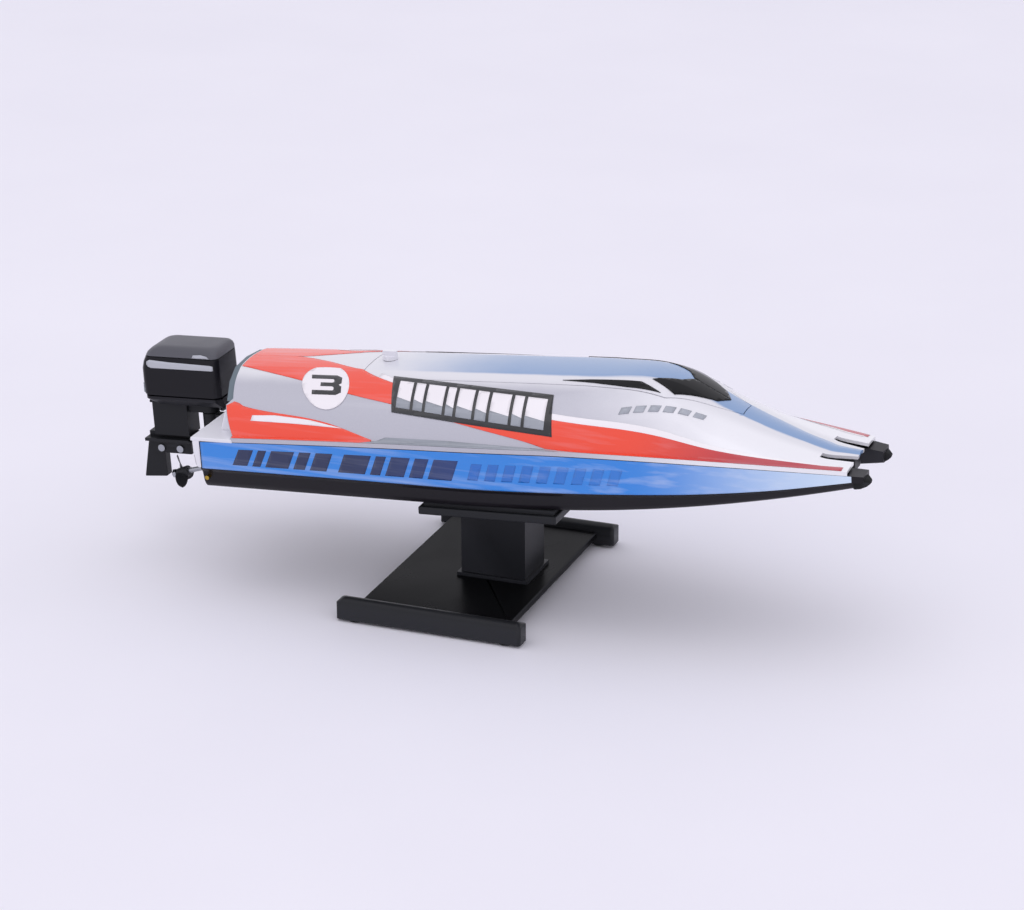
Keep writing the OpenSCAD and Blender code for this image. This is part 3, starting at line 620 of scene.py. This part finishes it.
def printed(name, colour, far, u0, u1, streak=0.25, gloss=0.22):
    """Screen-printed vinyl: one ink that fades to another along the boat, with squeegee streaks."""
    made = blank(name)
    spot = add(made, "SeparateXYZ", {0: add(made, "UVMap", {"uv_map": "print"}).outputs[0]})
    place = add(made, "TexCoord", {}).outputs["Object"]
    drawn = add(made, "Mapping", {"Vector": place, "Scale": (12.0, 240.0, 240.0)})
    lines = add(made, "TexNoise", {"Vector": drawn.outputs[0], "Scale": 1.0, "Detail": 4.0})
    ink = add(made, "TexNoise", {"Vector": place, "Scale": 260.0, "Detail": 2.0})
    fade = add(made, "MapRange", {"Value": spot.outputs[0], "From Min": u0, "From Max": u1,
                                  "interpolation_type": "SMOOTHSTEP"})
    run = add(made, "Mix", {"data_type": "RGBA", 0: fade.outputs[0], 6: linear(colour), 7: linear(far)})
    pale = add(made, "MapRange", {"Value": lines.outputs[0], "From Min": 0.5, "From Max": 0.8,
                                  "To Max": streak})
    streaked = add(made, "Mix", {"data_type": "RGBA", 0: pale.outputs[0], 6: run.outputs[2],
                                 7: linear("#E9EEFA")})
    relief = add(made, "Bump", {"Height": ink.outputs[0], "Distance": 0.00002, "Strength": 0.3})
    skin = add(made, "BsdfPrincipled", {"Base Color": streaked.outputs[2], "Roughness": gloss,
                                        "Coat Weight": 0.4, "Coat Roughness": 0.1,
                                        "Normal": relief.outputs[0]})
    add(made, "OutputMaterial", {"Surface": skin.outputs[0]})
    return made


def film(name, outline, where, lift_mm, side, material, body):
    """A flat outline of (x, t) pressed onto a surface, cut finely enough to follow it."""
    flat = [Vector((x, t * 40.0, 0.0)) for x, t in outline]
    cut = bmesh.new()
    corners = [cut.verts.new(p) for p in flat]
    for tri in geometry.tessellate_polygon([flat]):
        if geometry.area_tri(*(flat[i] for i in tri)) > 1e-6:
            cut.faces.new([corners[i] for i in tri])
    for axis, step in ((0, 3.0), (1, 2.0)):
        values = [p[axis] for p in flat]
        at = math.ceil(min(values) / step) * step
        while at < max(values):
            normal = (1, 0, 0) if axis == 0 else (0, 1, 0)
            bmesh.ops.bisect_plane(cut, geom=cut.verts[:] + cut.edges[:] + cut.faces[:], dist=1e-5,
                                   plane_co=(at, at, 0), plane_no=normal)
            at += step
    cut.verts.ensure_lookup_table()
    points, maps = [], []
    for vert in cut.verts:
        x, t = vert.co.x, vert.co.y / 40.0
        here = where(x, t)
        along = where(x + 0.5, t) - where(x - 0.5, t)
        up = where(x, t + 0.01) - where(x, t - 0.01)
        out = along.cross(up).normalized()
        if out.y < 0:
            out = -out
        spot = here + out * lift_mm / 1000
        points.append(Vector((spot.x, side * spot.y, spot.z)))
        maps.append((x / hull_len, t / 2))
    faces = [[v.index for v in face.verts] for face in cut.faces]
    cut.free()
    made = piece_from(name, points, faces, material, body, 60, maps)
    wall = made.modifiers.new("film", "SOLIDIFY")
    wall.thickness = 0.00005
    wall.offset = -1.0
    return made


def on_cowl(x, t):
    real = raked(x, t)
    y, z = cowl_at(real, t)
    return boat(real, y, z)


def on_flank(x, t):
    low = film_low(x)
    return boat(x, hull_half(x), low + (deck(x) - low) * t)


def band(top, bottom, x0, x1, step=4.0):
    """Outline between two drawn curves, from x0 to x1."""
    n = max(2, round((x1 - x0) / step))
    xs = [x0 + (x1 - x0) * i / n for i in range(n + 1)]
    return [(x, through(bottom, x)) for x in xs] + [(x, through(top, x)) for x in reversed(xs)]


# Vinyl film, screen-printed: warm racing red that darkens to crimson at the bow
red_film = printed("vinyl_printed_red", "#F4492F", "#B93A46", 0.66, 0.86, 0.12)
# The same vinyl unprinted: milky white with a pink cast where red shows through
white_film = printed("vinyl_white", "#F3EEF2", "#F7F4F6", 0.4, 0.9, 0.0)
# Solid black ink on vinyl: slightly brown-black with a hard gloss
black_film = printed("vinyl_printed_black", "#17171B", "#1A1A20", 0.4, 0.9, 0.04)
# Thin grey ink, shaded with half-tone: cool grey. The same grey film also paints the shade along the foot of
# the cowl
grey_film = printed("vinyl_printed_grey_and_painted_shade", "#8E939C", "#A9ADB6", 0.3, 0.8, 0.2)
# Sky-blue flank film, printed with a fade to near white at the bow and long pale streaks
blue_film = printed("vinyl_printed_blue", "#2A86E0", "#CFE2F7", 0.66, 0.98, 0.35)
# Navy ink over the blue
navy_film = printed("vinyl_printed_navy", "#12244F", "#173A7A", 0.2, 0.5, 0.1)
# Darker blue tint printed over the blue
tint_film = printed("vinyl_printed_dark_blue", "#1C6AC4", "#2A7BD4", 0.4, 0.7, 0.25)

swoosh_top = [(20, 1.99), (44, 1.98), (62, 1.5), (80, 1.05), (107, 0.78), (150, 0.55), (204, 0.36),
              (256, 0.25), (303, 0.16), (360, 0.14)]
swoosh_low = [(20, 1.0), (51, 0.79), (84, 0.60), (112, 0.48), (156, 0.26), (190, 0.09), (215, -0.06),
              (257, -0.085), (303, -0.09), (360, -0.09)]
patch_top = [(20, 0.46), (36, 0.36), (75, 0.22), (106, 0.0)]
numeral = [(0, 0), (0.82, 0), (1, 0.12), (1, 0.42), (0.9, 0.5), (1, 0.58), (1, 0.88), (0.82, 1), (0, 1),
           (0, 0.79), (0.7, 0.79), (0.74, 0.74), (0.74, 0.64), (0.68, 0.6), (0.28, 0.6), (0.28, 0.41),
           (0.68, 0.41), (0.74, 0.37), (0.74, 0.25), (0.7, 0.21), (0, 0.21)]
panel = [(105.6, 0.87), (113.0, 0.40), (205.5, 0.17), (201.0, 0.66)]


def in_panel(u, v):
    """A place on the slanted panel: u runs along it, v up it."""
    (ax, at), (bx, bt), (cx, ct), (dx, dt) = panel
    low = (bx + (cx - bx) * u, bt + (ct - bt) * u)
    high = (ax + (dx - ax) * u, at + (dt - at) * u)
    return low[0] + (high[0] - low[0]) * v, low[1] + (high[1] - low[1]) * v


for side, label in ((-1, "starboard"), (1, "port")):
    film("swoosh_red_" + label, band(swoosh_top, swoosh_low, 20.5, 359), on_cowl, 0.16, side,
         red_film, "hull")
    edge_low = [(x, t) for x, t in swoosh_top if x > 60]
    edge_top = [(x, t + 0.075) for x, t in edge_low]
    film("swoosh_edge_" + label, band(edge_top, edge_low, 96, 357), on_cowl, 0.17, side, white_film, "hull")
    film("stern_patch_" + label, band(patch_top, [(20, -0.09), (106, -0.09)], 20.5, 104), on_cowl, 0.16, side,
         red_film, "hull")
    film("stern_dash_" + label, [(33, 0.21), (56, 0.19), (86, 0.15), (66, 0.24), (46, 0.29), (34, 0.28)],
         on_cowl, 0.25, side, white_film, "hull")
    # Painted shade: a thin grey strip along the foot of the cowl where it meets the deck ledge, standing in
    # for the shade in that crease
    film("ledge_painted_shade_" + label, [(98, -0.09), (212, -0.09), (196, 0.0), (150, 0.05), (112, 0.055)], on_cowl,
         0.17, side, grey_film, "hull")
    disc = [(67.6 + 13.6 * math.cos(a) - 5.4 * math.sin(a), 0.715 + 0.33 * math.sin(a))
            for a in (math.radians(360 * i / 48) for i in range(48))]
    film("number_disc_" + label, disc, on_cowl, 0.3, side, white_film, "hull")
    shape = [(61.2 + 17.6 * (u if side < 0 else 1 - u) - 4.9 * v, 0.58 + 0.29 * v) for u, v in numeral]
    film("numeral_" + label, shape, on_cowl, 0.38, side, black_film, "hull")
    film("block_panel_" + label, [in_panel(u, v) for u, v in ((-0.01, -0.04), (0.5, -0.04), (1.01, -0.04),
                                                              (1.01, 1.04), (0.5, 1.04), (-0.01, 1.04))],
         on_cowl, 0.32, side, black_film, "hull")
    for k, (u, w) in enumerate([(0.02, 0.09), (0.13, 0.06), (0.21, 0.11), (0.34, 0.05), (0.41, 0.10),
                                (0.53, 0.07), (0.62, 0.12), (0.76, 0.06), (0.84, 0.12)]):
        bar = [in_panel(u, 0.1), in_panel(u + w, 0.1), in_panel(u + w + 0.02, 0.9), in_panel(u + 0.02, 0.9)]
        film("panel_bar_%d_%s" % (k, label), bar, on_cowl, 0.42, side, white_film, "hull")
        shade = [in_panel(u, 0.1), in_panel(u + w, 0.1), in_panel(u + w + 0.006, 0.32),
                 in_panel(u + 0.006, 0.4)]
        film("panel_shade_%d_%s" % (k, label), shade, on_cowl, 0.48, side, grey_film, "hull")
    for k in range(6):
        x = 240 + 7.6 * k
        t = 0.475 + 0.03 * k
        film("grey_tick_%d_%s" % (k, label), [(x, t - 0.03), (x + 5.4, t - 0.012), (x + 6.4, t + 0.075),
                                              (x + 0.9, t + 0.055)], on_cowl, 0.2, side, grey_film, "hull")

    flank = film("flank_film_" + label, band([(1, 0.985), (364, 0.985)], [(1, 0.0), (364, 0.0)], 1, 364),
                 on_flank, 0.2, side, blue_film, "hull")
    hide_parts("flank_sticker_" + label)
    for k, (x, w) in enumerate([(20, 9), (32, 5), (40, 14), (57, 7), (67, 10), (84, 16), (103, 6), (112, 11),
                                (126, 8), (137, 14)]):
        film("navy_bar_%d_%s" % (k, label), [(x, 0.2), (x + w, 0.2), (x + w + 4.5, 0.76), (x + 4.5, 0.76)],
             on_flank, 0.28, side, navy_film, "hull")
    for k in range(9):
        x = 160 + 9.6 * k
        film("blue_tick_%d_%s" % (k, label), [(x, 0.25), (x + 6, 0.25), (x + 9, 0.7), (x + 3, 0.7)],
             on_flank, 0.28, side, tint_film, "hull")


# ---- Hatch and windows ----
# One lift-off hatch, moulded and painted with the deck, with a smoked windscreen and side
# glass bonded flush into it. A lock knob holds its rear edge, two pegs its front.

hatch_skin = cowl_skin("hatch_skin", spread(84.3, 262, 299.7), lambda x, group: group == "centre", -0.25,
                       cowl_paint, "hatch")
thicken(hatch_skin, 1.8, 0.35, 48)
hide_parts("hatch_cover")

# Smoked acrylic, vacuum-formed: black at a glance, with a mirror-like surface
smoked = moulded("smoked_acrylic", "#08080A", 0.08, 3.0, 0.002, "#15161A", 0.1)


def plan(points):
    """An outline in plan turned into (x, t) on the cowl."""
    return [(x, level(x, y)) for x, y in points]


def along_edges(points, n=6):
    out = []
    for (ax, ay), (bx, by) in zip(points, points[1:] + points[:1]):
        out += [(ax + (bx - ax) * i / n, ay + (by - ay) * i / n) for i in range(n)]
    return out


for side, label in ((-1, "starboard"), (1, "port")):
    glass = film("side_glass_" + label,
                 plan(along_edges([(203, 20.5), (240, 22.6), (259, 22.0), (247, 17.6), (228, 18.4)])),
                 on_cowl, 0.3, side, smoked, "hatch")
    glass.modifiers["film"].thickness = 0.0006
    if side < 0:
        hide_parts("side_windows")
    half = film("windscreen_" + label,
                plan(along_edges([(271, 0.0), (266, 7.0), (252, 14.2), (266, 20.0), (286, 8.4), (291, 0.0)])),
                on_cowl, 0.3, side, smoked, "hatch")
    half.modifiers["film"].thickness = 0.0006
    if side < 0:
        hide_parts("windscreen")

# White ABS knob with a finger bar, moulded
dress("lock_knob", white_abs, 0.35)
dress("hatch_pegs", plated_steel, 0.15)
dress("hatch_seal", eva_foam, 0.0)
dress("hatch_socket", satin_abs, 0.3)


# ---- Inside the hull ----
# Battery, receiver and speed board, switch, servo and motor, screwed or strapped to the
# floor between the sponsons. Seen only with the hatch lifted off.

# Green heat-shrink sleeve over the cells: satin, taut
sleeve = moulded("heat_shrink_sleeve", "#256443", 0.3, 2.0, 0.02, "#4E9A73")
# Woven nylon strap: charcoal with a coarse weave
webbing = moulded("nylon_webbing", "#222326", 0.8, 1.2, 0.3)
# Red silicone wire: waxy and bright
wire_red = moulded("silicone_wire_red", "#B3261E", 0.45, 1.0, 0.02, "#D0554E")
# Glass-epoxy board under green solder mask
board = moulded("solder_mask_green", "#1D6B3A", 0.3, 0.7, 0.04, "#3D8F5C")
# Dark blue servo case, moulded satin
servo_case = moulded("servo_case_blue", "#26303C", 0.4, 0.8, 0.04)
# Red nylon slider
nylon_red = moulded("nylon_red", "#E03A2F", 0.4, 0.9, 0.03, "#F0766D")
# White acetal horn
acetal = moulded("acetal_white", "#E8E8EA", 0.35, 0.9, 0.02, "#FFFFFF", 0.05)
# Drawn brass tube and sintered bronze bushes
brass = turned("drawn_brass", "#C9A84A", 0.28, 0.5, (1.0, 1.0, 8.0))
bronze = turned("sintered_bronze", "#A9814F", 0.42, 0.3, (1.0, 1.0, 2.0))
# Copper-brown rotor stack
rotor_steel = turned("laminated_rotor", "#8F6B3A", 0.4, 0.5, (8.0, 1.0, 1.0))

for node, material, soften, slot in [
        ("battery_tray", satin_abs, 0.4, "grey_abs"), ("battery_pack", sleeve, 0.8, "cell_wrap"),
        ("battery_strap", webbing, 0.2, "rubber"), ("battery_lead", wire_red, 0.0, None),
        ("control_board", board, 0.15, None), ("antenna_wire", rubber, 0.0, "rubber"),
        ("switch_body", satin_abs, 0.3, "black_abs"), ("switch_slider", nylon_red, 0.3, None),
        ("steering_servo", servo_case, 0.4, None), ("servo_screws", plated_steel, 0.15, "steel"),
        ("motor_can", plated_steel, 0.4, "steel"), ("motor_mount", satin_abs, 0.4, "grey_abs"),
        ("stuffing_tube", brass, 0.1, "brass"), ("shaft_bushes", bronze, 0.1, "brass"),
        ("shaft_strut", satin_abs, 0.4, "black_abs"), ("rod_boot", rubber, 0.4, "rubber"),
        ("clamp_bracket", satin_abs, 0.4, "black_abs"), ("bracket_bolts", plated_steel, 0.2, "steel"),
        ("drain_plug", rubber, 0.4, "rubber"), ("hull_screws", plated_steel, 0.15, "steel"),
        ("water_contacts", brass, 0.1, "brass"), ("motor_rotor", rotor_steel, 0.1, "steel"),
        ("shaft_coupling", nylon_red, 0.2, None), ("propeller_shaft", plated_steel, 0.1, "steel"),
        ("propeller_nut", plated_steel, 0.15, "steel"), ("servo_horn", acetal, 0.3, "knob_abs"),
        ("horn_screw", plated_steel, 0.1, "steel"), ("steering_rod", plated_steel, 0.1, "steel"),
        ("swivel_pin", plated_steel, 0.2, "steel"), ("tiller_pin", plated_steel, 0.15, "steel"),
        ("leg_screws", plated_steel, 0.15, "steel")]:
    dress(node, material, soften)


# ---- Propeller ----
# Three-bladed, moulded in one piece of glass-filled nylon, with swept and twisted blades
# on a tapered hub. It is pressed onto the shaft against the nut.

# Glass-filled nylon, moulded: dark grey and dull, faintly mottled
filled_nylon = moulded("glass_filled_nylon", "#26272A", 0.5, 0.4, 0.08)

lean = math.radians(15)


def on_shaft(s, a, b):
    """A point s along the drive line from the hub; a is to port and b is across it, upwards."""
    return boat(-45 + s * math.cos(lean) - b * math.sin(lean), a,
                -15 + s * math.sin(lean) + b * math.cos(lean))


rings = []
for s, r in ((-3.0, 1.9), (-2.6, 2.4), (-1.0, 2.7), (2.0, 3.0), (4.4, 3.2), (5.0, 2.9)):
    rings.append([on_shaft(s, r * math.cos(a), r * math.sin(a))
                  for a in (math.radians(15 * i) for i in range(24))])
points, faces = loft(rings)
for blade in range(3):
    base = len(points)
    rows, cols = 7, 9
    for face_side in (0.5, -0.5):
        for i in range(rows):
            r = 2.2 + (10.6 - 2.2) * i / (rows - 1)
            pitch_angle = math.atan2(4.6, r + 1.2)
            chord = 8.2 * math.sqrt(max(0.04, 1 - ((i / (rows - 1) - 0.45) / 0.62) ** 2))
            for j in range(cols):
                c = (j / (cols - 1) - 0.5) * chord + 0.9 * (i / (rows - 1)) ** 2
                thick = 0.9 * (1 - 0.6 * i / (rows - 1)) * (1 - (2 * j / (cols - 1) - 1) ** 2 * 0.8)
                s = 0.8 + c * math.sin(pitch_angle) + face_side * thick * math.cos(pitch_angle)
                turn_by = (c * math.cos(pitch_angle) - face_side * thick * math.sin(pitch_angle)) / r
                angle = math.radians(90 + 120 * blade) + turn_by
                points.append(on_shaft(s, r * math.cos(angle), r * math.sin(angle)))
    for i in range(rows - 1):
        for j in range(cols - 1):
            a = base + i * cols + j
            faces.append((a, a + 1, a + 1 + cols, a + cols))
            b = a + rows * cols
            faces.append((b, b + cols, b + 1 + cols, b + 1))
    for i in range(rows - 1):
        for j, flip in ((0, False), (cols - 1, True)):
            a = base + i * cols + j
            b = a + rows * cols
            faces.append((a, a + cols, b + cols, b) if not flip else (a, b, b + cols, a + cols))
    for i in (0, rows - 1):
        for j in range(cols - 1):
            a = base + i * cols + j
            b = a + rows * cols
            faces.append((a, a + 1, b + 1, b))
screw = piece_from("propeller_blades", points, faces, filled_nylon, "drive", 40)
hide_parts("propeller")


# ---- Outboard motor ----
# A dummy motor cowl on a leg that swings as one to steer. Cowl and pan are gloss black ABS
# and the lid is satin, clipped together; the leg is satin, with its blade screwed on.

def rounded(cx, half_x, half_y, r, z, skew=0.0):
    """A rounded rectangle at height z, 8 points to a corner."""
    ring = []
    for k, (sx, sy) in enumerate(((1, 1), (-1, 1), (-1, -1), (1, -1))):
        for i in range(8):
            a = math.radians(90 * k + 90 * i / 7)
            x = cx + sx * (half_x - r) + r * math.cos(a)
            ring.append(boat(x + skew * (z - 36), sy * (half_y - r) + r * math.sin(a), z))
    return ring


# Black ABS, moulded in a polished tool: piano-like gloss that shows the soft boxes
cowl_gloss = moulded("black_abs_gloss_cowl", "#141318", 0.17, 1.6, 0.01, "#2C2D32")
# The lid is the same black ABS with a satin finish; its mid-grey colour is painted highlight, standing in for
# the light its top catches from overhead
lid_satin_painted_highlight = moulded("black_abs_satin_lid_painted_highlight", "#5A5A60", 0.36, 0.6, 0.03, "#77787E")

mid = -33.0
rings = [rounded(mid, 23.6, 13.4, 4, 36), rounded(mid, 24.3, 13.9, 4, 36.8), rounded(mid, 24.5, 14, 4, 45),
         rounded(mid, 24.4, 14, 4, 52), rounded(mid + 0.5, 23.9, 13.9, 4, 56),
         rounded(mid + 1.3, 23.1, 13.7, 4, 59.3)]
points, faces = loft(rings)
cowl = piece_from("outboard_cowl", points, faces, cowl_gloss, "outboard", 40)
thicken(cowl, 0, 0.4, 50)
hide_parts("motor_cowl")
rings = [rounded(mid + 1.4, 22.7, 13.3, 4, 59.5), rounded(mid + 1.4, 23.0, 13.6, 4, 59.9),
         rounded(mid + 2.0, 22.4, 13.4, 4, 61.8), rounded(mid + 2.9, 21.3, 12.6, 4.5, 63.6),
         rounded(mid + 3.7, 20.0, 11.4, 5, 64.8), rounded(mid + 4.1, 18.6, 10.0, 5, 65.3),
         rounded(mid + 4.3, 16.0, 7.8, 5, 65.5)]
points, faces = loft(rings)
# The lid's grey is painted highlight on the motor's top
lid = piece_from("outboard_lid", points, faces, lid_satin_painted_highlight, "outboard", 40)
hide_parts("cowl_lid")

# Silver film stripe down each side of the cowl, rounded at its rear end
silver_film = printed("vinyl_silver", "#B9BBC2", "#D3D4DA", 0.0, 0.4, 0.3, 0.3)
for side, label in ((-1, "starboard"), (1, "port")):
    stripe = film("cowl_stripe_" + label,
                  [(-52.2, 1.335), (-50.5, 1.32), (-12, 1.325), (-11, 1.335), (-11, 1.395), (-13, 1.405),
                   (-38, 1.42), (-51, 1.44), (-53, 1.41), (-53.2, 1.37)],
                  lambda x, t: boat(x, 13.98, t * 40), 0.15, side, silver_film, "outboard")
    if side < 0:
        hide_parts("cowl_stripes")
    film("cowl_mark_" + label, [(-24, 1.50), (-13, 1.50), (-14.5, 1.535), (-18, 1.555), (-23, 1.545)],
         lambda x, t: boat(x, 13.6, t * 40), 0.25, side, silver_film, "outboard")

dress("cowl_pan", cowl_gloss, 0.4)
dress("cowl_latch", grey_abs, 0.5)
dress("outboard_leg", satin_abs, 0.7)
dress("rudder_blade", satin_abs, 0.6)
